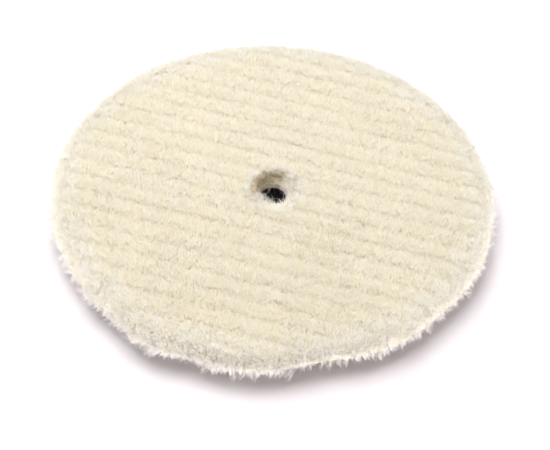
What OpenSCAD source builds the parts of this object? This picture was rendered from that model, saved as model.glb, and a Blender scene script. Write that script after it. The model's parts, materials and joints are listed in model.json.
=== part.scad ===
// Round wool polishing pad, made as a laminate: loop fabric, foam and tufted wool on a ground
// cloth, with one hole punched through the middle.
// The origin is at the centre of the face that the backing plate holds, and +Z runs up through
// the layers to the working face. The rows of pile run along X.

/* [Outline] */
// Diameter across the wool, from fringe to fringe
wool_d = 160; // [157:0.5:164]
// Diameter of the punched backing layers
backing_d = 146; // [140:0.5:150]
// Diameter of the hole through the backing layers
hole_d = 10; // [6:0.5:13]

/* [Layer thicknesses] */
// Nap of fine loops that the hooks of a backing plate hold
loop_nap_t = 1.0; // [0.6:0.1:1.5]
// Knitted base of the loop fabric
loop_base_t = 0.5; // [0.3:0.1:0.8]
// Each hot-melt film that bonds two layers
film_t = 0.1; // [0.05:0.05:0.3]
// Foam that lets the wool follow a curved panel
foam_t = 7.0; // [5:0.1:8]
// Latex that locks the roots of the tufts
latex_t = 0.2; // [0.1:0.1:0.5]
// Ground cloth that carries the rows of tufts
cloth_t = 0.4; // [0.3:0.1:0.8]
// Length of the pile above the ground cloth
pile_t = 5.7; // [5:0.1:8]

/* [Pile] */
// Distance between two rows of tufts
row_pitch = 7.7; // [7.3:0.1:7.8]
// Width of the parting between two rows
row_gap = 0.3; // [0.1:0.05:0.5]
// Radius of the crown across a row
crown_r = 10; // [8:0.5:14]
// Radius of the rolled rim of the wool
rim_r = 4.8; // [4.2:0.1:5.2]
// Diameter of the hole at the tips of the pile
mouth_d = 16.6; // [15:0.2:20]

/* [Hidden] */
$fn = 96;
ROWS = 20;
// How far a cutter runs past the face that it cuts
RUN_OUT = 2;
// Air between the cut edge of the laminate and the pile that hangs past it
SIDE_GAP = 0.3;
// How far the roll of the rim stands over the tips, so that it trims only the ends of the rows
ROLL_RISE = 0.3;

// Heights of the layers, from the plate side up
loop_base_z = loop_nap_t;
lower_film_z = loop_base_z + loop_base_t;
foam_z = lower_film_z + film_t;
upper_film_z = foam_z + foam_t;
latex_z = upper_film_z + film_t;
cloth_z = latex_z + latex_t;
pile_z = cloth_z + cloth_t;
tip_z = pile_z + pile_t;

// The rolled rim of the wool
wool_r = wool_d / 2;
roll_centre_r = wool_r - rim_r;
roll_centre_z = tip_z + ROLL_RISE - rim_r;
roll_low_z = roll_centre_z - rim_r;

function two(n) = n < 10 ? str("0", n) : str(n);
function row_node(i) = str("pile_row_", two(i));

// Y of the parting before row i + 1. The outermost rows run out past the rim.
function parting(i) =
    i == 0 ? -wool_r - RUN_OUT :
    i == ROWS ? wool_r + RUN_OUT :
    (i - ROWS / 2) * row_pitch;

// One layer of the laminate: a disc with the punched hole
module layer(z, t) {
    translate([0, 0, z])
        difference() {
            cylinder(d = backing_d, h = t);
            translate([0, 0, -RUN_OUT])
                cylinder(d = hole_d, h = t + 2 * RUN_OUT);
        }
}

module loop_nap() {
    color("#1d1b20") layer(0, loop_nap_t);
}

module loop_base_knit() {
    color("#19171b") layer(loop_base_z, loop_base_t);
}

module lower_bond_film() {
    color("#c9c3b2") layer(lower_film_z, film_t);
}

module foam_cushion() {
    color("#201d22") layer(foam_z, foam_t);
}

module upper_bond_film() {
    color("#c9c3b2") layer(upper_film_z, film_t);
}

module latex_coat() {
    color("#d8d0bd") layer(latex_z, latex_t);
}

module ground_cloth() {
    color("#d9cfc6") layer(cloth_z, cloth_t);
}

// Half section of the whole mass of wool: a slab with a rolled rim
module wool_section() {
    translate([0, pile_z])
        square([roll_centre_r, roll_centre_z + rim_r - pile_z]);
    translate([roll_centre_r, roll_centre_z])
        circle(r = rim_r);
}

// What the wool gives way to: the edge of the laminate below it, and the open hole
module wool_clearance() {
    translate([0, 0, roll_low_z - RUN_OUT])
        cylinder(r = backing_d / 2 + SIDE_GAP, h = pile_z - roll_low_z + RUN_OUT);
    translate([0, 0, pile_z])
        cylinder(d1 = hole_d, d2 = mouth_d, h = pile_t);
}

// Cross-section of row i in Y and Z, with its crest midway between two partings. An outermost
// row stays at full height from its crest outwards, where the rim trims it.
module row_section(i) {
    crest_y = (i - ROWS / 2 - 0.5) * row_pitch;
    low_y = parting(i - 1) + row_gap / 2;
    high_y = parting(i) - row_gap / 2;
    outer_low_y = i == 1 ? low_y : crest_y;
    outer_high_y = i == ROWS ? high_y : crest_y;
    intersection() {
        translate([low_y, roll_low_z - RUN_OUT])
            square([high_y - low_y, tip_z - roll_low_z + RUN_OUT]);
        union() {
            translate([crest_y, tip_z - crown_r])
                circle(r = crown_r);
            if (i == 1 || i == ROWS)
                translate([outer_low_y, roll_low_z - RUN_OUT])
                    square([outer_high_y - outer_low_y, tip_z - roll_low_z + RUN_OUT]);
        }
    }
}

// Row i of the pile, counted from the -Y side
module pile_row(i) {
    color("#ece4cf")
        difference() {
            intersection() {
                rotate([90, 0, 90])
                    linear_extrude(height = wool_d + 2 * RUN_OUT, center = true)
                        row_section(i);
                rotate_extrude() wool_section();
            }
            wool_clearance();
        }
}

loop_nap();
loop_base_knit();
lower_bond_film();
foam_cushion();
upper_bond_film();
latex_coat();
ground_cloth();
for (i = [1:ROWS])
    pile_row(i);
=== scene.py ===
"""Round wool polishing pad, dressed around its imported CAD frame.

Each row of pile is a dense core with thousands of fine fibres on it, grouped in tufts. Below
the wool lie the ground cloth, the latex, two bond films, the foam and the loop fabric.
"""

import json
import math

import bpy
import numpy as np
from mathutils import Matrix, Vector


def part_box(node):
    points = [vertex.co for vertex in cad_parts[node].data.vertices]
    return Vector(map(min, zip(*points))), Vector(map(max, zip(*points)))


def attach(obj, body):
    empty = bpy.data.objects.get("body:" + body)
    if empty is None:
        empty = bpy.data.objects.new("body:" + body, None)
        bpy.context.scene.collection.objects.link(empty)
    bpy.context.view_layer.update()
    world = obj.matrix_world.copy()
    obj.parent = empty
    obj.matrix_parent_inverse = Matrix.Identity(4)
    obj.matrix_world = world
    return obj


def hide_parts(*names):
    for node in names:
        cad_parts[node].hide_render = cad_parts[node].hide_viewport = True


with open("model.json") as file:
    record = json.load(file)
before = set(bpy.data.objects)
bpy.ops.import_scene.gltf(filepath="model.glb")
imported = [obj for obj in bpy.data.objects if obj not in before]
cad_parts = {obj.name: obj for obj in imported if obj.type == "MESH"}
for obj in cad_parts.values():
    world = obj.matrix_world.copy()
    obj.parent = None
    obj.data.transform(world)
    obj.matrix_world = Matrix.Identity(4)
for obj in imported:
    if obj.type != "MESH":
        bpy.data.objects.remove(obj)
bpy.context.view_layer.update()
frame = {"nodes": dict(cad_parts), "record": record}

MM = 0.001
TAU = 2.0 * math.pi

# ---------------------------------------------------------------- sizes, from the CAD frame

ROW_NODES = sorted(name for name in frame["nodes"] if name.startswith("pile_row_"))
ROWS = len(ROW_NODES)
HOLE_R = next(m for m in frame["record"]["mounts"] if m["name"] == "centre_hole")["dims"]["r_mm"] * MM
CLOTH_LOW, CLOTH_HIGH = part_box("ground_cloth")
BACKING_R = CLOTH_HIGH.x
PILE_Z = CLOTH_HIGH.z
MIDDLE_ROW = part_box(ROW_NODES[ROWS // 2])
WOOL_R = MIDDLE_ROW[1].x
TIP_Z = MIDDLE_ROW[1].z
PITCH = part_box(ROW_NODES[ROWS // 2 + 1])[0].y - MIDDLE_ROW[0].y
RIM_LOW_Z = MIDDLE_ROW[0].z
RIM_R = (TIP_Z - RIM_LOW_Z) / 2.0
ROLL_R = WOOL_R - RIM_R
ROLL_Z = (TIP_Z + RIM_LOW_Z) / 2.0
MOUTH_R = 8.3 * MM          # the hole at the tips of the pile
CROWN_R = 10.0 * MM         # the crown across a row


# ---------------------------------------------------------------- small helpers

class Noise:
    """Smooth seeded noise from -1 to 1, on a lattice that repeats every SIZE cells."""
    SIZE = 32

    def __init__(self, seed):
        self.lattice = np.random.default_rng(seed).uniform(-1, 1, (self.SIZE,) * 3)

    def __call__(self, points, cell):
        """Noise at points, an array of N by 3, where a lattice cell is that many metres."""
        at = np.asarray(points) / cell
        low = np.floor(at).astype(int)
        share = at - low
        share = share * share * (3 - 2 * share)
        value = np.zeros(len(at))
        for corner in np.ndindex(2, 2, 2):
            weight = np.prod(np.where(corner, share, 1 - share), axis=1)
            x, y, z = ((low + corner) % self.SIZE).T
            value += weight * self.lattice[x, y, z]
        return value


def unit(vectors):
    """Each row of vectors, at length 1."""
    return vectors / np.maximum(np.linalg.norm(vectors, axis=1, keepdims=True), 1e-12)


def across(directions):
    """Two directions at right angles to each direction and to each other."""
    other = np.where(np.abs(directions[:, 2:3]) < 0.9, [[0.0, 0.0, 1.0]], [[1.0, 0.0, 0.0]])
    first = unit(np.cross(directions, other))
    return first, np.cross(directions, first)


def around_axis(angle, out, up):
    """Points or directions at these angles about the hole's axis, so far out and so far up."""
    return np.stack([out * np.cos(angle), out * np.sin(angle), up + 0 * angle], 1)


def mesh_object(name, points, faces_by_size, materials, shades=None):
    """A mesh object from points and a list of face arrays, one array for each number of corners."""
    mesh = bpy.data.meshes.new(name)
    corners = np.concatenate([f.ravel() for f in faces_by_size]).astype(np.int32)
    totals = np.concatenate([np.full(len(f), f.shape[1]) for f in faces_by_size]).astype(np.int32)
    starts = np.concatenate([[0], np.cumsum(totals)[:-1]]).astype(np.int32)
    mesh.vertices.add(len(points))
    mesh.vertices.foreach_set("co", np.asarray(points, np.float32).ravel())
    mesh.loops.add(len(corners))
    mesh.loops.foreach_set("vertex_index", corners)
    mesh.polygons.add(len(totals))
    mesh.polygons.foreach_set("loop_start", starts)
    mesh.polygons.foreach_set("loop_total", totals)
    mesh.polygons.foreach_set("use_smooth", np.full(len(totals), True))
    for material in materials:
        mesh.materials.append(material)
    if shades is not None:
        mesh.polygons.foreach_set("material_index", shades.astype(np.int32))
    mesh.update(calc_edges=True)
    mesh.validate()
    made = bpy.data.objects.new(name, mesh)
    bpy.context.scene.collection.objects.link(made)
    return made


def place(piece, slot, *nodes):
    """The piece rides on the pad and stands for nodes, which it hides; slot is not used."""
    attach(piece, "root")
    if nodes:
        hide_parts(*nodes)
    return piece


# ---------------------------------------------------------------- materials

def new_material(name, colour, roughness, **sockets):
    """A Principled material with these plain values, its tree and its shader node."""
    material = bpy.data.materials.new(name)
    material.use_nodes = True
    material.diffuse_color = (*colour, 1.0)
    tree = material.node_tree
    shader = tree.nodes["Principled BSDF"]
    shader.inputs["Base Color"].default_value = (*colour, 1.0)
    shader.inputs["Roughness"].default_value = roughness
    for socket, value in sockets.items():
        shader.inputs[socket.replace("_", " ")].default_value = value
    return material, tree, shader


def add_node(tree, kind, inputs=None, **settings):
    """A node of that kind with these settings and input values; a socket as a value is linked."""
    node = tree.nodes.new(kind)
    for key, value in settings.items():
        setattr(node, key, value)
    for key, value in (inputs or {}).items():
        if isinstance(value, bpy.types.NodeSocket):
            tree.links.new(value, node.inputs[key])
        else:
            node.inputs[key].default_value = value
    return node


def object_point(tree):
    """The socket that gives the place on the object, in metres."""
    return add_node(tree, "ShaderNodeTexCoord").outputs["Object"]


def noise_node(tree, per_metre, detail=3.0, roughness=0.5):
    """Noise with that many features to the metre."""
    return add_node(tree, "ShaderNodeTexNoise", {
        "Vector": object_point(tree),
        "Scale": per_metre,
        "Detail": detail,
        "Roughness": roughness,
    })


def ramp_node(tree, value, stops):
    """A colour ramp over value; stops are pairs of place and colour."""
    ramp = add_node(tree, "ShaderNodeValToRGB", {"Fac": value})
    elements = ramp.color_ramp.elements
    while len(elements) < len(stops):
        elements.new(1.0)
    for element, (at, colour) in zip(elements, stops):
        element.position = at
        element.color = (*colour, 1.0)
    return ramp


def bump(tree, shader, height, distance):
    """Feeds the shader's normal from a height that stands for that many metres."""
    node = add_node(tree, "ShaderNodeBump", {"Height": height, "Distance": distance})
    tree.links.new(node.outputs["Normal"], shader.inputs["Normal"])


# The shades of wool, as linear colours
WOOL = (0.908, 0.850, 0.687)
WOOL_WARM = (0.890, 0.818, 0.638)
WOOL_PALE = (0.935, 0.900, 0.805)
WOOL_SHADE = (0.840, 0.780, 0.600)
# Painted light: near-white wool standing for the glow of thin fibres lit from behind, drawn mostly on the
# rim, the fringe and the lip of the hole
WOOL_WHITE_PAINTED_LIGHT = (0.970, 0.956, 0.940)
# Painted shade: deep brown wool standing for the shadow on the side of the hole's wall away from the key
# light
WOOL_PAINTED_SHADE = (0.700, 0.590, 0.390)
# What the fibres are drawn in: name, colour and sheen
SHADES = (
    ("wool_cream", WOOL, 0.12),
    ("wool_warm", WOOL_WARM, 0.12),
    ("wool_pale", WOOL_PALE, 0.5),
    ("wool_shade", WOOL_SHADE, 0.12),
    ("wool_white_painted_light", WOOL_WHITE_PAINTED_LIGHT, 1.0),
    ("wool_painted_shade", WOOL_PAINTED_SHADE, 0.0),
)


def fibre_materials():
    """The materials of the fibres, one for each shade."""
    made = []
    for name, colour, sheen in SHADES:
        material, _, _ = new_material(
            name, colour, 0.85, Sheen_Weight=sheen, Sheen_Roughness=0.5, Specular_IOR_Level=0.25)
        made.append(material)
    return made


def core_material():
    """Dense wool below the tips: mottled cream with a fine matted surface."""
    material, tree, shader = new_material("wool_core", WOOL, 0.95, Specular_IOR_Level=0.15)
    mottle = noise_node(tree, 700, 4.0, 0.6)
    ramp = ramp_node(tree, mottle.outputs["Fac"], [(0.30, WOOL_WARM), (0.55, WOOL), (0.75, WOOL_PALE)])
    tree.links.new(ramp.outputs["Color"], shader.inputs["Base Color"])
    bump(tree, shader, noise_node(tree, 2600, 5.0, 0.7).outputs["Fac"], 0.25 * MM)
    return material


def wave_node(tree, period, direction, distortion=0.0):
    """Parallel bands across X or Y, that many metres apart."""
    return add_node(tree, "ShaderNodeTexWave", {
        "Vector": object_point(tree),
        "Scale": TAU / (20 * period),
        "Distortion": distortion,
        "Detail": 1.0,
    }, bands_direction=direction)


def mixed(tree, operation, first, second):
    """The socket of a sum, product or other operation on two values."""
    return add_node(tree, "ShaderNodeMath", {0: first, 1: second}, operation=operation).outputs[0]


def mottled_material(name, dark, light, roughness, per_metre, **sockets):
    """A material whose colour drifts between two close tones, with its tree and shader."""
    material, tree, shader = new_material(name, light, roughness, **sockets)
    noise = noise_node(tree, per_metre, 4.0, 0.6)
    ramp = ramp_node(tree, noise.outputs["Fac"], [(0.35, dark), (0.65, light)])
    tree.links.new(ramp.outputs["Color"], shader.inputs["Base Color"])
    return material, tree, shader


def foam_material():
    """Near-black open-cell foam, with its cut cells as pits."""
    material, tree, shader = mottled_material(
        "foam_black", (0.026, 0.023, 0.028), (0.058, 0.053, 0.060), 0.95, 500, Specular_IOR_Level=0.2)
    cells = add_node(tree, "ShaderNodeTexVoronoi", {"Vector": object_point(tree), "Scale": 1500.0})
    grain = noise_node(tree, 4000, 3.0, 0.6)
    bump(tree, shader, mixed(tree, "ADD", cells.outputs["Distance"], grain.outputs["Fac"]), 0.2 * MM)
    return material


def cloth_material():
    """Pale plain weave, faintly pink, in yarns 0.9 mm apart."""
    material, tree, shader = mottled_material(
        "ground_cloth_weave", (0.54, 0.475, 0.455), (0.64, 0.575, 0.55), 0.9, 900, Specular_IOR_Level=0.2)
    weft = wave_node(tree, 0.9 * MM, "X", 0.6)
    warp = wave_node(tree, 0.9 * MM, "Y", 0.6)
    bump(tree, shader, mixed(tree, "MULTIPLY", weft.outputs["Fac"], warp.outputs["Fac"]), 0.15 * MM)
    return material


def latex_material():
    """Milky latex, a little lumpy where it dried."""
    material, tree, shader = mottled_material(
        "latex_milky", (0.50, 0.45, 0.38), (0.60, 0.55, 0.47), 0.45, 260, Specular_IOR_Level=0.5)
    bump(tree, shader, noise_node(tree, 900, 3.0).outputs["Fac"], 0.12 * MM)
    return material


def film_material():
    """Clear-yellow hot-melt film, glossy, with slow waves in it."""
    material, tree, shader = mottled_material(
        "bond_film_amber", (0.40, 0.35, 0.25), (0.50, 0.45, 0.34), 0.22, 180, Specular_IOR_Level=0.5)
    bump(tree, shader, noise_node(tree, 420, 2.0).outputs["Fac"], 0.08 * MM)
    return material


def knit_material():
    """Charcoal warp knit: columns of stitches 0.8 mm apart, crossed by courses."""
    material, tree, shader = mottled_material(
        "loop_knit_charcoal", (0.028, 0.026, 0.031), (0.052, 0.049, 0.056), 0.85, 1200, Sheen_Weight=0.2)
    columns = wave_node(tree, 0.8 * MM, "X", 0.8)
    courses = wave_node(tree, 0.5 * MM, "Y", 0.8)
    bump(tree, shader, mixed(tree, "ADD", columns.outputs["Fac"], courses.outputs["Fac"]), 0.12 * MM)
    return material


def nap_materials():
    """Three tones of the charcoal nylon that the loops are made of."""
    tones = (("nap_charcoal", 0.042), ("nap_charcoal_light", 0.075), ("nap_charcoal_dark", 0.026))
    made = []
    for name, tone in tones:
        material, _, _ = new_material(name, (tone, 0.95 * tone, 1.1 * tone), 0.55, Sheen_Weight=0.3)
        made.append(material)
    return made


# ---------------------------------------------------------------- laminate

LOOPS_ALONE = 0.55          # share of the nap's height, on the plate side, with nothing but loops
edge_noise = Noise(14)


def ring_profile(low, high, inner_r, outer_r, outer_rows, inner_rows, face_rows):
    """The section of a flat ring, as rows of radius, z and outward normal, in order round the section."""
    rows = []
    up = np.linspace(low, high, outer_rows + 1)
    down = np.linspace(high, low, inner_rows + 1)
    inwards = np.linspace(outer_r, inner_r, face_rows + 1)[1:-1]
    rows += [(outer_r, z, 1.0, 0.0) for z in up]
    rows += [(radius, high, 0.0, 1.0) for radius in inwards]
    rows += [(inner_r, z, -1.0, 0.0) for z in down]
    rows += [(radius, low, 0.0, -1.0) for radius in inwards[::-1]]
    return np.array(rows)


def closed_ring(name, profile, around, material, swell):
    """A closed body turned round the hole's axis, with that many columns of points around it.

    swell is a function that says how far each point moves along its normal.
    """
    count = len(profile)
    angle = np.repeat(np.arange(around) * TAU / around, count)
    radius, z, out, up = np.tile(profile, (around, 1)).T
    points = around_axis(angle, radius, z)
    normals = around_axis(angle, out, up)
    points = points + normals * swell(points, normals)[:, None]
    column = np.arange(around)[:, None]
    row = np.arange(count)[None, :]
    here = column * count
    following = (column + 1) % around * count
    below = (row + 1) % count
    corners = np.stack(np.broadcast_arrays(here + row, following + row, following + below, here + below), -1)
    return mesh_object(name, points, [corners.reshape(-1, 4)], [material])


def layer_heights(node):
    """The lowest and highest z of a layer of the laminate."""
    low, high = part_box(node)
    return low.z, high.z


def sidewards(normals):
    """1 on a ring's cut edges and 0 on its faces."""
    return np.hypot(normals[:, 0], normals[:, 1])


def build_foam():
    """The foam, with cut cells as pits in its edge, which stands in a little at mid height."""
    low, high = layer_heights("foam_cushion")
    pit_depth = 0.75 * MM
    waist_depth = 0.3 * MM

    def swell(points, normals):
        cells = 0.6 * edge_noise(points, 0.8 * MM) + 0.5 * edge_noise(points + 1, 0.45 * MM)
        pits = pit_depth * np.clip(cells - 0.02, 0, 1)
        waist = waist_depth * np.sin(math.pi * np.clip((points[:, 2] - low) / (high - low), 0, 1))
        return -(pits + waist) * sidewards(normals)

    profile = ring_profile(low, high, HOLE_R, BACKING_R, 22, 10, 6)
    foam = place(closed_ring("foam_pad", profile, 1400, foam_material(), swell), "foam", "foam_cushion")


def build_thin_layer(name, node, slot, material, cell, size, around=720):
    """A thin layer whose cut edges wander in and out by up to size, in waves of that cell."""
    low, high = layer_heights(node)

    def swell(points, normals):
        wander = edge_noise(points * [1, 1, 0.3] + low, cell) + 0.5 * edge_noise(points + 2, cell / 3)
        return size * wander * sidewards(normals)

    profile = ring_profile(low, high, HOLE_R, BACKING_R, 3, 2, 12)
    return place(closed_ring(name, profile, around, material, swell), slot, node)


def yarn_ends(name, material, count, radius, z, toward_axis, reach, seed):
    """Short frayed ends of yarn that stand out of a cut edge of the ground cloth."""
    rng = np.random.default_rng(seed)
    around = rng.uniform(0, TAU, count)
    side = -1.0 if toward_axis else 1.0
    out = rng.uniform(0.3, 1.0, count) * reach
    tips = around_axis(around, radius + side * out, z + rng.normal(0, 0.12 * MM, count))
    heading = around_axis(around, side, rng.normal(0, 0.2, count))
    group = {
        "tips": tips,
        "heading": unit(heading + rng.normal(0, 0.3, (count, 3))),
        "length": out + 0.5 * MM,
        "half_width": np.full(count, 0.06 * MM),
        "shade": np.zeros(count, int),
    }
    points, faces, shades = curved_fibres(group, rng)
    return place(mesh_object(name, points, [faces], [material], shades), "ground_cloth")


def nap_loops():
    """Thousands of small loops of yarn, each a three-sided tube bent into an arch."""
    rng = np.random.default_rng(51)
    step = 1.7 * MM
    margin = 0.6 * MM
    lines = np.arange(-BACKING_R, BACKING_R, step)
    x, y = (a.ravel() for a in np.meshgrid(lines, lines))
    x = x + rng.uniform(-0.45, 0.45, len(x)) * step
    y = y + rng.uniform(-0.45, 0.45, len(y)) * step
    radius = np.hypot(x, y)
    keep = (radius < BACKING_R - margin) & (radius > HOLE_R + margin)
    x, y = x[keep], y[keep]
    count = len(x)
    turn = rng.uniform(0, TAU, count)
    along = around_axis(turn, 1.0, 0.0)
    side = around_axis(turn + TAU / 4, 1.0, 0.0)
    width = rng.uniform(0.45, 0.75, count) * MM
    height = rng.uniform(0.50, 0.68, count) * MM
    lean = rng.normal(0, 0.25, count) * MM
    rings, sides = 6, 3
    yarn_r = 0.07 * MM
    root_z = 0.76 * MM
    points = np.empty((count, rings, sides, 3))
    for ring in range(rings):
        t = math.pi * ring / (rings - 1)
        middle = np.stack([x, y, root_z - height * math.sin(t)], 1)
        middle += along * (width * math.cos(t))[:, None] + side * (lean * math.sin(t))[:, None]
        inward = unit(-along * math.cos(t) + around_axis(turn, 0.0, math.sin(t)))
        for corner in range(sides):
            angle = TAU * corner / sides
            points[:, ring, corner] = middle + yarn_r * (math.cos(angle) * side + math.sin(angle) * inward)
    start = np.arange(count)[:, None] * rings * sides
    quads, caps = [], [start + [0, 2, 1], start + (rings - 1) * sides + [0, 1, 2]]
    for ring in range(rings - 1):
        for a in range(sides):
            b = (a + 1) % sides
            low, high = ring * sides, (ring + 1) * sides
            quads.append(start + [low + a, low + b, high + b, high + a])
    tone = rng.choice(3, count, p=(0.55, 0.25, 0.20))
    shades = np.concatenate([np.tile(tone, len(quads)), np.tile(tone, len(caps))])
    faces = [np.concatenate(quads), np.concatenate(caps)]
    loops = mesh_object("loop_nap_loops", points.reshape(-1, 3), faces, nap_materials(), shades)
    return place(loops, "loop_nap")


def build_nap():
    """The nap: a matted layer under the knit, and the loops that stand out of it."""
    high = layer_heights("loop_nap")[1]
    low = LOOPS_ALONE * high

    def swell(points, normals):
        lumps = edge_noise(points, 1.3 * MM) + 0.6 * edge_noise(points + 3, 0.6 * MM)
        return 0.10 * MM * lumps * (normals[:, 2] < 0.5)

    mat_material, tree, shader = mottled_material(
        "nap_mat_charcoal", (0.022, 0.020, 0.024), (0.045, 0.042, 0.049), 0.9, 1500, Sheen_Weight=0.2)
    bump(tree, shader, noise_node(tree, 3000, 4.0, 0.7).outputs["Fac"], 0.2 * MM)
    profile = ring_profile(low, high, HOLE_R, BACKING_R, 3, 2, 60)
    place(closed_ring("loop_nap_mat", profile, 720, mat_material, swell), "loop_nap", "loop_nap")
    nap_loops()


def build_laminate():
    """All the layers below the wool."""
    build_nap()
    knit = build_thin_layer(
        "loop_knit_sheet", "loop_base_knit", "loop_knit", knit_material(), 1.2 * MM, 0.06 * MM)
    build_thin_layer("lower_film", "lower_bond_film", "bond_film", film_material(), 2.5 * MM, 0.12 * MM)
    build_foam()
    build_thin_layer("upper_film", "upper_bond_film", "bond_film", film_material(), 2.8 * MM, 0.10 * MM)
    latex = build_thin_layer("latex_layer", "latex_coat", "latex", latex_material(), 1.6 * MM, 0.14 * MM)
    weave = cloth_material()
    cloth = build_thin_layer(
        "ground_cloth_sheet", "ground_cloth", "ground_cloth", weave, 1.0 * MM, 0.12 * MM, 1080)
    middle_z = sum(layer_heights("ground_cloth")) / 2
    yarns = [
        yarn_ends("cloth_yarns_hole", weave, 60, HOLE_R, middle_z, True, 0.7 * MM, 61),
        yarn_ends("cloth_yarns_edge", weave, 420, BACKING_R, middle_z, False, 0.25 * MM, 62),
    ]


# ---------------------------------------------------------------- wool

fibre_set = fibre_materials()
wool_core = core_material()
lean_noise = Noise(11)
height_noise = Noise(12)
outline_noise = Noise(13)

TOP_STEP = 1.25 * MM        # between the tufts on the working face
RIM_STEP = 1.35 * MM        # on the rim
WALL_STEP = 1.0 * MM        # on the wall of the hole
CORE_DEPTH = 2.1 * MM       # from the tips down to the dense core
CORE_VOXEL = 0.65 * MM
HOLE_CLEAR = 0.4 * MM       # from the hole in the cloth out to the core
# Zones of tufts on the roll of the rim: the distance between two tufts, the angles of the roll where the
# zone begins and ends, in degrees above level, and a seed
SHOULDER_ZONE = (RIM_STEP, 88, 24, 22)
FRINGE_ZONE = (RIM_STEP, 24, -78, 24)
SPIKE_ZONE = (1.45 * MM, 14, -60, 25)
LONG_SPIKE_ZONE = (1.6 * MM, 10, -55, 26)
SKIRT_ZONE = (1.35 * MM, -35, -78, 27)
HALO_ZONE = (1.7 * MM, 66, 5, 28)
# How steeply the pile stands, in degrees above level, at each angle of the roll
ROLL_AT = (-78, -30, 0, 25, 60, 90)
PILE_STANDS = (-65, -12, 24, 52, 78, 90)
# How the fibres of a kind of tuft stand. count is the fibres in a tuft. lean tilts the tuft and stir
# each fibre. rise lifts the tuft's tips off the surface, step varies that from tuft to tuft and ragged
# from fibre to fibre. dome rounds the tuft's top and spread is its radius. A fan below 0 draws the fibres
# together towards their tips. length is the length of a fibre and width is half its width at the root.
LOOK_TOP = {
    "count": 42, "lean": 0.08, "stir": 0.24, "rise": 0.0, "step": 0.07 * MM, "dome": 0.12 * MM,
    "ragged": 0.15 * MM, "spread": 1.0 * MM, "fan": -0.08, "length": 3.6 * MM, "width": 0.10 * MM,
}
LOOK_SHOULDER = {**LOOK_TOP, "count": 46, "lean": 0.14, "stir": 0.3, "step": 0.12 * MM, "ragged": 0.25 * MM}
LOOK_FRINGE = {
    **LOOK_TOP, "count": 38, "lean": 0.14, "stir": 0.3, "rise": 0.3 * MM, "step": 0.2 * MM,
    "ragged": 0.3 * MM, "width": 0.135 * MM,
}
LOOK_SPIKE = {
    "count": 10, "lean": 0.28, "stir": 0.09, "rise": 1.6 * MM, "step": 0.9 * MM, "dome": 0.6 * MM,
    "ragged": 0.6 * MM, "spread": 0.26 * MM, "fan": -0.07, "length": 4.8 * MM, "width": 0.055 * MM,
}
LOOK_LONG_SPIKE = {**LOOK_SPIKE, "rise": 2.0 * MM}
LOOK_SKIRT = {**LOOK_SPIKE, "rise": 2.2 * MM, "spread": 0.5 * MM, "stir": 0.14}
LOOK_HALO = {
    "count": 8, "lean": 0.2, "stir": 0.35, "rise": 0.8 * MM, "step": 0.3 * MM, "dome": 0.3 * MM,
    "ragged": 0.55 * MM, "spread": 0.9 * MM, "fan": 0.0, "length": 4.0 * MM, "width": 0.05 * MM,
}
LOOK_WALL = {
    "count": 40, "lean": 0.16, "stir": 0.18, "rise": 0.1 * MM, "step": 0.12 * MM, "dome": 0.1 * MM,
    "ragged": 0.30 * MM, "spread": 0.8 * MM, "fan": -0.05, "length": 3.0 * MM, "width": 0.08 * MM,
}
# The odds of each shade of wool: cream, warm, pale, shade, white (painted light) and deep brown (painted
# shade)
SHADE_ODDS_TOP = (0.48, 0.18, 0.22, 0.08, 0.04, 0.0)
# Painted light: paler and whiter wool in a band round the edge of the face, for the glow of the backlit edge
SHADE_ODDS_EDGE_PAINTED_LIGHT = (0.30, 0.08, 0.42, 0.0, 0.20, 0.0)
# Painted light: the shoulder of the rim in paler and whiter wool
SHADE_ODDS_SHOULDER_PAINTED_LIGHT = (0.40, 0.08, 0.38, 0.0, 0.14, 0.0)
# Painted light and shade: the fringe in whiter wool for its glow, with more of the darker shade for the
# shadows between its tufts
SHADE_ODDS_RIM_PAINTED_LIGHT_AND_SHADE = (0.28, 0.06, 0.38, 0.14, 0.14, 0.0)
# Painted light: the lip of the hole and the fibres that lean over it in paler and whiter wool, where the
# pile catches the light
SHADE_ODDS_MOUTH_PAINTED_LIGHT = (0.25, 0.06, 0.38, 0.06, 0.25, 0.0)
# Painted light: the rest of the hole's wall, towards the key light, in paler and whiter wool
SHADE_ODDS_WALL_PAINTED_LIGHT = (0.35, 0.10, 0.40, 0.0, 0.15, 0.0)
# Painted shade: the side of the hole's wall away from the key light, mostly in deep brown wool
SHADE_ODDS_WALL_PAINTED_SHADE = (0.0, 0.15, 0.0, 0.10, 0.0, 0.75)
# Painted light: loose spikes and hairs round the rim, mostly white, for the glow of thin fibres lit from
# behind
SHADE_ODDS_SPIKE_PAINTED_LIGHT = (0.05, 0.0, 0.40, 0.0, 0.55, 0.0)
TUFT_SHADE_SHARE = 0.35     # of the fibres of a tuft have one shade, the others each their own
PILE_DRIFT = 0.05           # how far neighbouring tufts lean together
DRIFT_CELL = 14 * MM        # over about this distance
PARTING_DEPTH = 0.9 * MM    # between two rows, below their crests
PARTING_WIDTH = 0.75 * MM
EDGE_FALL = 0.35 * MM       # how far the face has sunk where the roll of the rim begins
EDGE_RUN = 9 * MM
PAINTED_LIGHT_RUN = 7 * MM           # width of the band round the edge of the face that is drawn paler, as painted light for its backlit glow
BULGE_RUN = 9 * MM          # how far in from the roll the uneven edge is felt
MOUTH_SHIFT = 1.4 * MM      # the pile is pushed back further on the +X side of the hole
LIP_RUN = 2.4 * MM          # width of the rounded lip of the hole
LIP_FALL = 0.6 * MM         # how far the lip has sunk at the mouth
LIP_LEAN = 0.75             # how steeply it slopes there
WALL_HEADING = (-0.42, 0.91)        # the way the tufts on the wall of the hole point: outwards and up
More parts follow.
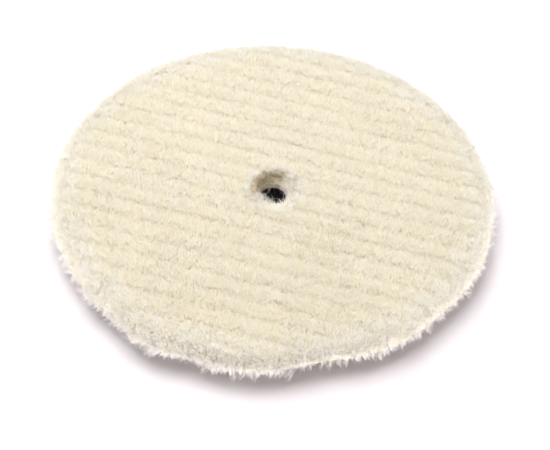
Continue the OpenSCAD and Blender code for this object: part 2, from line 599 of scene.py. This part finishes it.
# Bearings from the middle of the pad
LONG_SPIKES_AT = (math.radians(-128), math.radians(-84))    # the shaggiest stretch of the rim
CLIPPED_AT = (math.radians(-70), math.radians(-50))         # the stretch where no loose fringe hangs down
PAINTED_SHADE_WALL_AT = math.radians(158)                            # the side of the hole's wall that is painted in shade
# Places where the cut edge of the wool stands out (+) or in (-): bearing and half width in degrees, size
EDGE_FEATURES = (
    (-107, 6, 2.4 * MM),
    (-99, 4, 1.7 * MM),
    (-86, 4, 1.2 * MM),
    (-78, 6, 1.9 * MM),
    (-60, 9, -2.3 * MM),
    (-20, 6, -0.6 * MM),
)
# Loose fibres that lean in over the hole: how many, the bearing that they come from and its spread in
# degrees, how far from the axis and how far below the face their tips lie in millimetres, and the odds
OVERHANGS = (
    (560, -114, 20, (4.3, 8.2), (0.2, 2.6), SHADE_ODDS_MOUTH_PAINTED_LIGHT),
    (180, -32, 20, (5.6, 9.0), (0.4, 2.6), SHADE_ODDS_MOUTH_PAINTED_LIGHT),
    (240, 22, 20, (5.8, 8.8), (0.3, 3.4), SHADE_ODDS_MOUTH_PAINTED_LIGHT),
    (26, -100, 50, (2.8, 6.0), (1.5, 4.5), SHADE_ODDS_SPIKE_PAINTED_LIGHT),
)


def row_of(y):
    """Which row, from 0, the wool at y belongs to."""
    return np.clip(np.floor(y / PITCH + ROWS / 2), 0, ROWS - 1).astype(int)


def off_crest(y):
    """How far y lies from the crest of its row."""
    return y - (row_of(y) - ROWS / 2 + 0.5) * PITCH


def crown_drop(y):
    """How far the top of a row lies below its crest at y. The outermost rows stay level outwards."""
    away = np.abs(off_crest(y)) * (np.abs(y) < (ROWS / 2 - 0.5) * PITCH)
    to_parting = PITCH / 2 - away
    return 0.03 * away + PARTING_DEPTH * np.exp(-(to_parting / PARTING_WIDTH) ** 2)


def tuft_group(surface, odds, look, rng):
    """Fibres for the tufts of a surface, as a dict of arrays.

    surface holds the tufts' centres, the normals of the wool's surface there, and the tufts' headings.
    """
    centres, normals, headings = surface
    tuft_count = len(centres)
    each = max(1, round(look["count"] * (1)))
    tufts = np.repeat(np.arange(tuft_count), each)
    total = len(tufts)
    first, second = across(normals)
    lean = rng.normal(0, look["lean"], (tuft_count, 2))
    lean[:, 0] += PILE_DRIFT * lean_noise(centres, DRIFT_CELL)
    lean[:, 1] += PILE_DRIFT * lean_noise(centres + 0.5, DRIFT_CELL)
    rise = look["rise"] + rng.normal(0, look["step"], tuft_count)
    radius = np.sqrt(rng.uniform(0, 1, total))
    angle = rng.uniform(0, TAU, total)
    side_1 = radius * np.cos(angle)
    side_2 = radius * np.sin(angle)
    normal = normals[tufts]
    a = first[tufts]
    b = second[tufts]
    height = rise[tufts] - look["dome"] * radius ** 2 + rng.normal(0, look["ragged"], total)
    tips = centres[tufts] + height[:, None] * normal
    tips += look["spread"] * (side_1[:, None] * a + side_2[:, None] * b)
    tilt_1 = lean[tufts, 0] + look["fan"] * side_1 + rng.normal(0, look["stir"], total)
    tilt_2 = lean[tufts, 1] + look["fan"] * side_2 + rng.normal(0, look["stir"], total)
    tuft_shade = rng.choice(len(SHADES), tuft_count, p=odds)[tufts]
    own_shade = rng.choice(len(SHADES), total, p=odds)
    return {
        "tips": tips,
        "heading": unit(headings[tufts] + tilt_1[:, None] * a + tilt_2[:, None] * b),
        "length": look["length"] * rng.uniform(0.85, 1.15, total),
        "half_width": look["width"] * rng.uniform(0.75, 1.1, total),
        "shade": np.where(rng.uniform(size=total) < TUFT_SHADE_SHARE, tuft_shade, own_shade),
        "row": row_of(centres[:, 1])[tufts],
    }


def mouth_radius(angle):
    """How far out the wall of the hole in the pile meets the working face, at an angle."""
    return MOUTH_R + MOUTH_SHIFT * np.cos(angle)


def top_tufts(step):
    """Centres, normals and nearness to the hole of the tufts on the flat of the wool."""
    rng = np.random.default_rng(21)
    lines = np.arange(-ROLL_R, ROLL_R, step)
    centres = []
    for number, line in enumerate(lines):
        x = np.arange(-ROLL_R, ROLL_R, step) + (number % 2) * step / 2
        x = x + rng.uniform(-0.42, 0.42, len(x)) * step
        y = line + rng.uniform(-0.42, 0.42, len(x)) * step
        centres.append(np.stack([x, y, np.zeros(len(x))], 1))
    centres = np.concatenate(centres)
    radius = np.hypot(centres[:, 0], centres[:, 1])
    past_mouth = radius - mouth_radius(np.arctan2(centres[:, 1], centres[:, 0]))
    keep = (radius < ROLL_R) & (past_mouth > 0.15 * MM)
    centres, radius, past_mouth = centres[keep], radius[keep], past_mouth[keep]
    lip = np.clip(1 - past_mouth / LIP_RUN, 0, 1)
    fall = np.clip((radius - ROLL_R + EDGE_RUN) / EDGE_RUN, 0, 1)
    sunk = crown_drop(centres[:, 1]) * (1 - lip) + LIP_FALL * lip ** 2 + EDGE_FALL * fall ** 2
    centres[:, 2] = TIP_Z - sunk
    centres[:, 2] += 0.06 * MM * height_noise(centres, 6 * MM)
    outward = centres[:, :2] / radius[:, None]
    slope = off_crest(centres[:, 1]) / CROWN_R
    normals = np.stack([
        -LIP_LEAN * lip * outward[:, 0],
        0.25 * slope - LIP_LEAN * lip * outward[:, 1],
        np.ones(len(centres)),
    ], 1)
    return bulged(centres), unit(normals), lip


def rim_bulge(angle):
    """How far the cut edge of the wool stands out or in from its circle at an angle."""
    ring = np.stack([np.cos(angle), np.sin(angle), np.zeros(len(angle))], 1) * WOOL_R
    bulge = 0.50 * MM * outline_noise(ring, 9 * MM) + 0.35 * MM * outline_noise(ring + 1.0, 3.5 * MM)
    for bearing, half_width, size in EDGE_FEATURES:
        away = (angle - math.radians(bearing) + math.pi) % TAU - math.pi
        bulge += size * np.exp(-(away / math.radians(half_width)) ** 2)
    return bulge


def bulged(points):
    """The points, moved out or in with the uneven edge of the wool."""
    radius = np.hypot(points[:, 0], points[:, 1])
    share = np.clip((radius - ROLL_R + BULGE_RUN) / (BULGE_RUN + RIM_R), 0, 1) ** 2
    grow = 1 + rim_bulge(np.arctan2(points[:, 1], points[:, 0])) * share / np.maximum(radius, MM)
    return points * np.stack([grow, grow, np.ones(len(points))], 1)


def rim_tufts(step, high, low, seed):
    """The tufts on the rolled rim, from one angle of the roll to another, in degrees.

    A tuft on the shoulder of the roll points higher than the surface does, as PILE_STANDS says.
    """
    rng = np.random.default_rng(seed)
    high = math.radians(high)
    low = math.radians(low)
    centres, normals, headings = [], [], []
    rings = int(round((high - low) * RIM_R / step))
    count = int(TAU * WOOL_R / step)
    for ring in range(rings):
        around = (np.arange(count) + rng.uniform(-0.4, 0.4, count) + (ring % 2) / 2) * TAU / count
        roll = high + (low - high) * (ring + 0.5) / rings + rng.uniform(-0.4, 0.4, count) * step / RIM_R
        out = ROLL_R + RIM_R * np.cos(roll)
        stands = np.radians(np.interp(np.degrees(roll), ROLL_AT, PILE_STANDS))
        up = ROLL_Z + RIM_R * np.sin(roll) - EDGE_FALL * np.clip(np.sin(roll), 0, 1) ** 2
        centres.append(around_axis(around, out, up))
        normals.append(around_axis(around, np.cos(roll), np.sin(roll)))
        headings.append(around_axis(around, np.cos(stands), np.sin(stands)))
    return bulged(np.concatenate(centres)), np.concatenate(normals), np.concatenate(headings)


def wall_tufts(step):
    """The tufts on the wall of the hole in the pile. They stand up and lean in over the hole."""
    rng = np.random.default_rng(23)
    depth = TIP_Z - PILE_Z
    run = MOUTH_R - HOLE_R
    slope = math.hypot(depth, run)
    levels = int(round(slope / step))
    centres, normals, headings = [], [], []
    for level in range(levels):
        share = (level + 0.5) / levels
        count = int(TAU * (HOLE_R + run * share) / step)
        around = (np.arange(count) + (level % 2) / 2 + rng.uniform(-0.45, 0.45, count)) * TAU / count
        radius = HOLE_R + (mouth_radius(around) - HOLE_R) * share
        z = PILE_Z + depth * share + rng.uniform(-0.7, 0.5, count) * step
        centres.append(around_axis(around, radius, z))
        normals.append(around_axis(around, -depth / slope, run / slope))
        headings.append(around_axis(around, *WALL_HEADING))
    return np.concatenate(centres), np.concatenate(normals), np.concatenate(headings)


def overhang(rng, count, bearing, spread, reach, depth, odds):
    """Loose fibres that lean in over the hole, as a row of OVERHANGS describes them."""
    around = np.radians(rng.normal(bearing, spread, count))
    tips = around_axis(around, rng.uniform(*reach, count) * MM, TIP_Z - rng.uniform(*depth, count) * MM)
    tips[:, :2] += rng.normal(0, 0.4 * MM, (count, 2))
    heading = around_axis(around, -0.7, rng.normal(0.6, 0.3, count))
    return {
        "tips": tips,
        "heading": unit(heading + rng.normal(0, 0.25, (count, 3))),
        "length": rng.uniform(3.4, 5.0, count) * MM,
        "half_width": np.full(count, 0.055 * MM),
        "shade": rng.choice(len(SHADES), count, p=odds),
        "row": row_of(tips[:, 1]),
    }


def part_of(surface, mask):
    """The tufts of a surface where mask is true."""
    return tuple(values[mask] for values in surface)


def bearings(surface):
    """The bearing of each tuft of a surface from the middle of the pad."""
    return np.arctan2(surface[0][:, 1], surface[0][:, 0])


def within(surface, limits):
    """Whether the bearing of each tuft of a surface lies between two limits."""
    bearing = bearings(surface)
    return (bearing > limits[0]) & (bearing < limits[1])


def joined(groups):
    """Several groups of fibres as one."""
    return {key: np.concatenate([g[key] for g in groups]) for key in groups[0]}


def chosen(group, mask):
    """The fibres of a group where mask is true."""
    return {key: value[mask] for key, value in group.items()}


def straight_fibres(group, rng):
    """Points, triangles and shades of straight tapered fibres, each a closed three-sided spike."""
    count = len(group["tips"])
    first, second = across(group["heading"])
    root = group["tips"] - group["heading"] * group["length"][:, None]
    turn = rng.uniform(0, TAU, count)
    points = np.empty((count, 4, 3))
    for corner in range(3):
        angle = (turn + corner * TAU / 3)[:, None]
        side = (np.cos(angle) * first + np.sin(angle) * second) * group["half_width"][:, None]
        points[:, corner] = root + side
    points[:, 3] = group["tips"]
    start = np.arange(count)[:, None] * 4
    sides = [start + [a, (a + 1) % 3, 3] for a in range(3)]
    faces = np.concatenate(sides + [start + [2, 1, 0]])
    return points.reshape(-1, 3), faces, np.tile(group["shade"], 4)


def curved_fibres(group, rng):
    """Points, triangles and shades of bent tapered fibres, each a closed three-sided spike."""
    count = len(group["tips"])
    heading = group["heading"]
    length = group["length"][:, None]
    first, second = across(heading)
    turn = rng.uniform(0, TAU, count)[:, None]
    bend = rng.uniform(0.08, 0.22, count)[:, None] * length
    root = group["tips"] - heading * length
    middle = group["tips"] - 0.45 * heading * length + bend * (np.cos(turn) * first + np.sin(turn) * second)
    points = np.empty((count, 7, 3))
    for corner in range(3):
        angle = turn + corner * TAU / 3
        side = (np.cos(angle) * first + np.sin(angle) * second) * group["half_width"][:, None]
        points[:, corner] = root + side
        points[:, 3 + corner] = middle + side * 0.85
    points[:, 6] = group["tips"]
    start = np.arange(count)[:, None] * 7
    faces = [start + [2, 1, 0]]
    for a in range(3):
        b = (a + 1) % 3
        faces += [start + [a, b, 3 + b], start + [a, 3 + b, 3 + a], start + [3 + a, 3 + b, 6]]
    return points.reshape(-1, 3), np.concatenate(faces), np.tile(group["shade"], 10)


def wool_fibres():
    """The straight and the bent fibres of the pad's wool, as two groups."""
    centres, normals, lip = top_tufts(TOP_STEP)
    inner = lip > 0
    # Painted light: tufts in a band round the edge of the face, fewer further in, take the paler odds
    to_edge = (ROLL_R - np.hypot(centres[:, 0], centres[:, 1])) / PAINTED_LIGHT_RUN
    pale = ~inner & (to_edge < np.random.default_rng(32).uniform(0, 1, len(centres)))
    face = centres[~inner & ~pale], normals[~inner & ~pale], normals[~inner & ~pale]
    edge = centres[pale], normals[pale], normals[pale]
    mouth = centres[inner], normals[inner], normals[inner]
    shoulder = rim_tufts(*SHOULDER_ZONE)
    fringe = rim_tufts(*FRINGE_ZONE)
    spikes = rim_tufts(*SPIKE_ZONE)
    long_spikes = rim_tufts(*LONG_SPIKE_ZONE)
    long_spikes = part_of(long_spikes, within(long_spikes, LONG_SPIKES_AT))
    skirt = rim_tufts(*SKIRT_ZONE)
    skirt = part_of(skirt, ~within(skirt, CLIPPED_AT))
    halo = rim_tufts(*HALO_ZONE)
    wall = wall_tufts(WALL_STEP)
    # Painted shade: tufts on the side of the hole's wall away from the key light are drawn darker; the rest
    # of the wall is drawn paler, as painted light
    dark = np.cos(bearings(wall) - PAINTED_SHADE_WALL_AT) > 0.2
    rng = np.random.default_rng(35)
    straight = joined([
        tuft_group(face, SHADE_ODDS_TOP, LOOK_TOP, rng),
        tuft_group(mouth, SHADE_ODDS_MOUTH_PAINTED_LIGHT, LOOK_TOP, rng),
        tuft_group(edge, SHADE_ODDS_EDGE_PAINTED_LIGHT, LOOK_TOP, rng),
        tuft_group(shoulder, SHADE_ODDS_SHOULDER_PAINTED_LIGHT, LOOK_SHOULDER, rng),
        tuft_group(fringe, SHADE_ODDS_RIM_PAINTED_LIGHT_AND_SHADE, LOOK_FRINGE, rng),
        tuft_group(part_of(wall, dark), SHADE_ODDS_WALL_PAINTED_SHADE, LOOK_WALL, rng),
        tuft_group(part_of(wall, ~dark), SHADE_ODDS_WALL_PAINTED_LIGHT, LOOK_WALL, rng),
    ])
    bent = joined([
        tuft_group(spikes, SHADE_ODDS_SPIKE_PAINTED_LIGHT, LOOK_SPIKE, rng),
        tuft_group(long_spikes, SHADE_ODDS_SPIKE_PAINTED_LIGHT, LOOK_LONG_SPIKE, rng),
        tuft_group(skirt, SHADE_ODDS_SPIKE_PAINTED_LIGHT, LOOK_SKIRT, rng),
        tuft_group(halo, SHADE_ODDS_SPIKE_PAINTED_LIGHT, LOOK_HALO, rng),
        *[overhang(rng, *kind) for kind in OVERHANGS],
    ])
    return straight, bent


def fibre_object(name, straight, bent, rng):
    """One row's fibres as one mesh."""
    points_a, faces_a, shades_a = straight_fibres(straight, rng)
    points_b, faces_b, shades_b = curved_fibres(bent, rng)
    return mesh_object(
        name,
        np.concatenate([points_a, points_b]),
        [np.concatenate([faces_a, faces_b + len(points_a)])],
        fibre_set,
        np.concatenate([shades_a, shades_b]),
    )


def core_place(points):
    """Where the points of a row's solid go in its core, which lies below the tips all round."""
    radius = np.hypot(points[:, 0], points[:, 1])
    outward = points[:, :2] / np.maximum(radius, MM)[:, None]
    angle = np.arctan2(points[:, 1], points[:, 0])
    height = (points[:, 2] - PILE_Z) / (TIP_Z - PILE_Z)
    fall = EDGE_FALL * np.clip((radius - ROLL_R + EDGE_RUN) / EDGE_RUN, 0, 1) ** 2
    face_z = PILE_Z + height * (TIP_Z - PILE_Z - CORE_DEPTH - fall)
    new_z = np.where(height > 0, face_z, points[:, 2])
    # The roll shrinks towards its own middle
    on_roll = radius > ROLL_R
    share = 1 - CORE_DEPTH / RIM_R
    up = (points[:, 2] - ROLL_Z) / RIM_R
    sunk = EDGE_FALL * np.clip(up, 0, 1) ** 2
    new_z = np.where(on_roll, ROLL_Z + up * RIM_R * share - sunk, new_z)
    new_radius = np.where(on_roll, ROLL_R + (radius - ROLL_R) * share, radius)
    near_hole = np.clip(1 - (radius - HOLE_R) / (2 * (MOUTH_R - HOLE_R)), 0, 1)
    new_radius = new_radius + (HOLE_CLEAR + MOUTH_SHIFT * np.cos(angle) * np.clip(height, 0, 1)) * near_hole
    return bulged(np.column_stack([outward * new_radius[:, None], new_z]))


def core_object(node):
    """The dense body of a row: its CAD solid drawn in under the tips, and roughened."""
    made = frame["nodes"][node].copy()
    made.data = frame["nodes"][node].data.copy()
    made.name = node + "_core"
    made.data.name = made.name
    made.parent = None
    for key in list(made.keys()):
        del made[key]
    bpy.context.scene.collection.objects.link(made)
    remesh = made.modifiers.new("remesh", "REMESH")
    remesh.mode = "VOXEL"
    remesh.voxel_size = CORE_VOXEL
    bpy.context.view_layer.update()
    shape = made.evaluated_get(bpy.context.evaluated_depsgraph_get())
    mesh = bpy.data.meshes.new_from_object(shape)
    made.modifiers.clear()
    made.data = mesh
    mesh.name = made.name
    count = len(mesh.vertices)
    points = np.empty(count * 3, np.float32)
    normals = np.empty(count * 3, np.float32)
    mesh.vertices.foreach_get("co", points)
    mesh.vertex_normals.foreach_get("vector", normals)
    points = points.reshape(-1, 3).astype(float)
    normals = normals.reshape(-1, 3).astype(float)
    rough = 0.22 * MM * height_noise(points, 1.1 * MM) + 0.15 * MM * height_noise(points, 2.6 * MM)
    rough = rough * (points[:, 2] > PILE_Z + 0.5 * MM)
    points = core_place(points) + normals * rough[:, None]
    mesh.vertices.foreach_set("co", points.astype(np.float32).ravel())
    mesh.materials.clear()
    mesh.materials.append(wool_core)
    mesh.polygons.foreach_set("use_smooth", np.full(len(mesh.polygons), True))
    mesh.update()
    return made


def build_wool():
    """One core and one piece of fibres for each row."""
    straight, bent = wool_fibres()
    rng = np.random.default_rng(41)
    for row, node in enumerate(ROW_NODES):
        place(core_object(node), "wool_pile", node)
        mine = chosen(straight, straight["row"] == row), chosen(bent, bent["row"] == row)
        place(fibre_object(node + "_fibres", *mine, rng), "wool_pile")


# ---------------------------------------------------------------- studio

FLOOR_R = 0.3
FLOOR_CORNERS = 96
FLOOR_COLOUR = (0.92, 0.88, 0.905)
SURROUND_COLOUR = (1.0, 0.89, 0.93)
HORIZON_GLOW = 1.36         # strength of the surround at eye level
ZENITH_GLOW = 0.16          # and overhead
GLOW_TOP = 0.35             # sine of the elevation where it has sunk to that
WHITE = (1.0, 1.0, 1.0)
FILL_TINT = (1.0, 0.975, 0.975)
# Name, bearing in degrees anticlockwise from the camera's right, elevation in degrees, distance, size,
# watts and colour
LIGHTS = (
    ("key_softbox", 122, 71, 1.2, 1.3, 22.2, WHITE),
    ("left_fill", -140, 2.5, 1.2, 0.15, 10.5, FILL_TINT),
    ("right_fill", -40, 2.5, 1.2, 0.15, 13.5, FILL_TINT),
)
VIEW_AZIMUTH = 15.5         # degrees from -Y round to the camera, on the +X side
VIEW_ELEVATION = 45.2
VIEW_DISTANCE = 0.65
VIEW_LENS = 117.6
VIEW_ROLL = -2.42
AIM = (0.00276, -0.00492, 0.0)      # the point at the middle of the view


def build_studio():
    """Pale round floor, and a pale surround that is brightest at the horizon."""
    mesh = bpy.data.meshes.new("floor")
    corners = around_axis(np.arange(FLOOR_CORNERS) * TAU / FLOOR_CORNERS, FLOOR_R, 0.0)
    mesh.from_pydata(corners.tolist(), [], [tuple(range(FLOOR_CORNERS))])
    floor = bpy.data.objects.new("floor", mesh)
    material, _, _ = new_material("floor_pale", FLOOR_COLOUR, 0.6, Specular_IOR_Level=0.2)
    mesh.materials.append(material)
    bpy.context.scene.collection.objects.link(floor)

    world = bpy.data.worlds.new("studio")
    bpy.context.scene.world = world
    world.use_nodes = True
    tree = world.node_tree
    surround = tree.nodes["Background"]
    surround.inputs["Color"].default_value = (*SURROUND_COLOUR, 1.0)
    direction = add_node(tree, "ShaderNodeSeparateXYZ", {
        "Vector": add_node(tree, "ShaderNodeTexCoord").outputs["Generated"],
    })
    glow = add_node(tree, "ShaderNodeMapRange", {
        "Value": direction.outputs["Z"],
        "From Min": 0.0,
        "From Max": GLOW_TOP,
        "To Min": HORIZON_GLOW,
        "To Max": ZENITH_GLOW,
    }, interpolation_type="SMOOTHSTEP")
    tree.links.new(glow.outputs["Result"], surround.inputs["Strength"])


def add_area_light(name, bearing, elevation, distance, size, watts, colour):
    """A square soft light that faces the pad, as a row of LIGHTS describes it."""
    light = bpy.data.lights.new(name, "AREA")
    light.shape = "SQUARE"
    light.size = size
    light.energy = watts
    light.color = colour
    holder = bpy.data.objects.new(name, light)
    turn = math.radians(bearing + VIEW_AZIMUTH)
    tilt = math.radians(elevation)
    direction = Vector((math.cos(turn) * math.cos(tilt), math.sin(turn) * math.cos(tilt), math.sin(tilt)))
    holder.location = direction * distance
    holder.rotation_euler = direction.to_track_quat("Z", "Y").to_euler()
    bpy.context.scene.collection.objects.link(holder)


def build_camera():
    """A long lens that looks down on the pad from the front."""
    turn = math.radians(VIEW_AZIMUTH)
    tilt = math.radians(VIEW_ELEVATION)
    back = Vector((math.sin(turn) * math.cos(tilt), -math.cos(turn) * math.cos(tilt), math.sin(tilt)))
    place_of = Vector((0, 0, TIP_Z)) + back * VIEW_DISTANCE
    data = bpy.data.cameras.new("camera")
    data.lens = VIEW_LENS
    data.sensor_width = 36.0
    data.clip_start = 0.01
    camera = bpy.data.objects.new("camera", data)
    toward = Vector(AIM) - place_of
    camera.rotation_mode = "QUATERNION"
    camera.rotation_quaternion = toward.to_track_quat("-Z", "Y")
    camera.rotation_quaternion = (
        Matrix.Rotation(math.radians(VIEW_ROLL), 3, toward.normalized()).to_quaternion()
        @ camera.rotation_quaternion
    )
    camera.location = place_of
    bpy.context.scene.collection.objects.link(camera)
    bpy.context.scene.camera = camera


build_studio()
for light in LIGHTS:
    add_area_light(*light)
build_camera()
build_laminate()
build_wool()

bpy.context.scene.view_settings.view_transform = "Standard"
